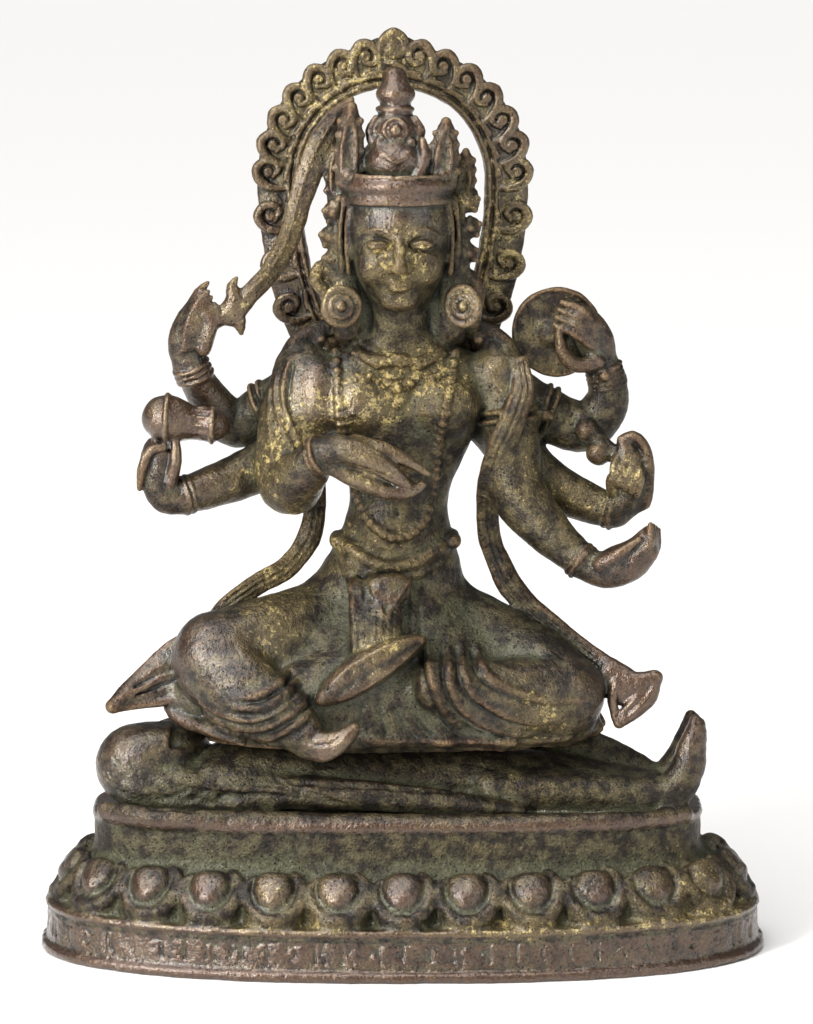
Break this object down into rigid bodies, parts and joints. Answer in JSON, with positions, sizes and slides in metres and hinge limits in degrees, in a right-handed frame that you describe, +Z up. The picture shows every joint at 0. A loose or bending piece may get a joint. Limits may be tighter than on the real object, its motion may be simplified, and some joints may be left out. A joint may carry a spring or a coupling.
{
  "type": "kali figure",
  "caption": "Small cast copper-alloy goddess with several arms, seated on a lying man over an oval lotus base, with a flame halo behind the head.",
  "frame": {"origin": "middle of the base's flat underside", "axes": "+X to the right in the front view, front towards -Y, +Z up"},
  "size_m": [0.13, 0.0578, 0.162],
  "materials": {
    "base_alloy": "dark green-brown patina, worn reddish on the rims",
    "figure_alloy": "brown patina with green recesses, rubbed high points and traces of gilding",
    "halo_alloy": "brown patina with more gilding left in the flames"
  },
  "bodies": {
    "root": {"lotus_base": "base_alloy", "seated_goddess": "figure_alloy", "flame_halo": "halo_alloy"}
  },
  "joints": []
}
